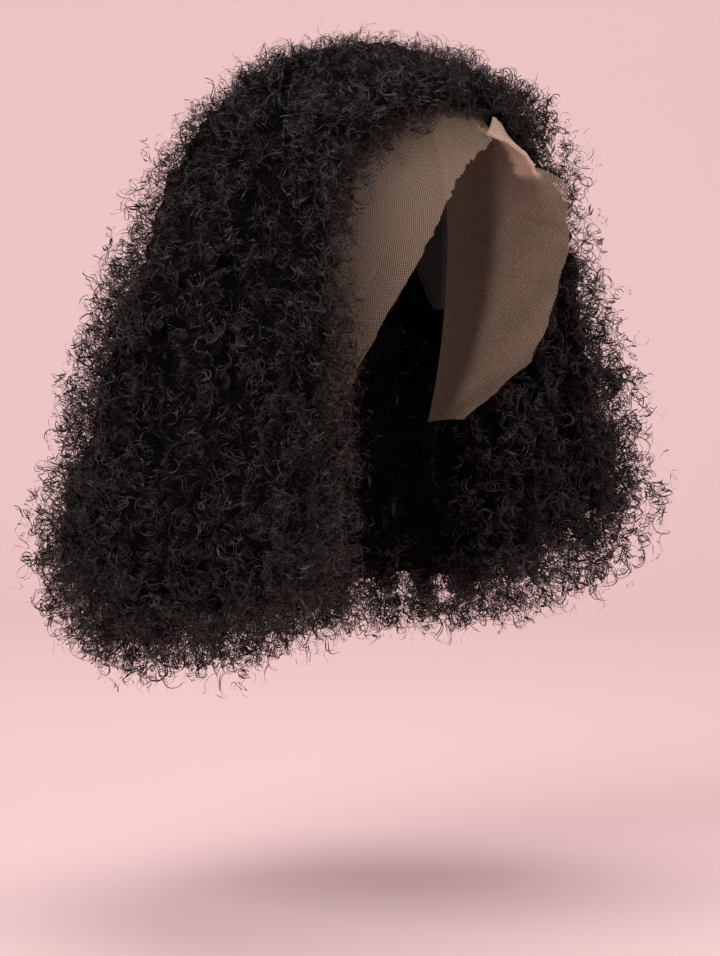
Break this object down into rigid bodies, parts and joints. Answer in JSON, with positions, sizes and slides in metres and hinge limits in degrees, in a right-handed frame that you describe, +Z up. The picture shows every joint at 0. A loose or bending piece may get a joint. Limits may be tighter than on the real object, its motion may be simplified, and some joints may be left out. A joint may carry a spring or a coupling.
{
  "type": "lace front wig",
  "caption": "Wide, shoulder-length bob of tight black curls on a plain cap with a sheer tan lace front, its raw edge flat on one side and lifted and folded on the other.",
  "frame": {"origin": "inside of the cap at the crown, where the wig sits on the top of the head", "axes": "+Z up, the wearer looks along -Y, +X is the wearer's left"},
  "size_m": [0.372, 0.2706, 0.3542],
  "materials": {
    "cap": "plain dark stretch cap, matte",
    "lace": "sheer tan hexagonal net, matte",
    "hair": "tight soft black curls, slight sheen"
  },
  "bodies": {
    "root": {"cap": "cap", "lace_front": "lace", "front_hair": "hair", "cap_hair": "hair"}
  },
  "joints": []
}
